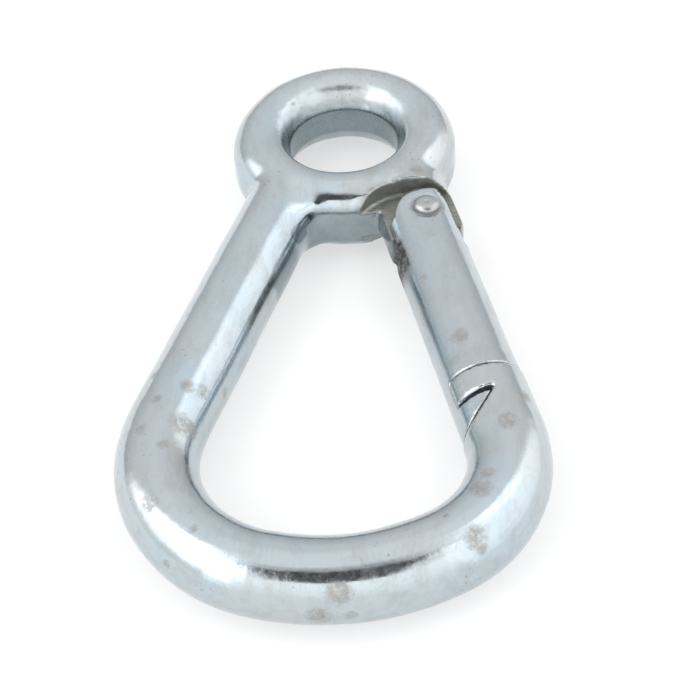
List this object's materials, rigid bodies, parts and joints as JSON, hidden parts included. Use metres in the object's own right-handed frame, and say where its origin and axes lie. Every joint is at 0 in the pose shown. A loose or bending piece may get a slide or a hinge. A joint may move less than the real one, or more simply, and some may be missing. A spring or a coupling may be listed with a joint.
{
  "type": "snap hook",
  "caption": "Forged eye snap hook with a sprung, inward-opening solid gate on a rivet, latched by a T-shaped head in the slotted nose.",
  "frame": {"origin": "centre of the eye, at mid thickness", "axes": "+Z along the eye's bore, square to the flat of the hook; +Y from the bow to the eye; +X to the gate side"},
  "size_m": [0.0663, 0.1196, 0.0132],
  "materials": {
    "forged_zinc_steel": "bright zinc plated drop forging",
    "gate_zinc_steel": "bright zinc plated",
    "rivet_steel": "headed steel rivet",
    "spring_wire": "drawn spring wire",
    "pin_steel": "turned steel"
  },
  "bodies": {
    "hook": {"hook_body": "forged_zinc_steel"},
    "gate_arm": {"gate": "gate_zinc_steel", "gate_rivet": "rivet_steel", "gate_spring": "spring_wire"},
    "push_pin": {"spring_plunger": "pin_steel"}
  },
  "joints": [
    {"name": "gate_hinge", "type": "hinge", "parent": "hook", "child": "gate_arm", "pos_m": [0.01474, -0.02, 0], "axis": [0, 0, -1], "range_deg": [0, 30], "stiffness_Nm_per_rad": 0.03, "springref_deg": -103.13},
    {"name": "pin_slide", "type": "slide", "parent": "gate_arm", "child": "push_pin", "axis": [0.2703, -0.9628, 0], "range_m": [0, 0.0012], "deforming": ["gate_spring"]}
  ],
  "couplings": [
    {"joint": "pin_slide", "follows": "gate_hinge", "m_per_rad": 0.0022}
  ]
}
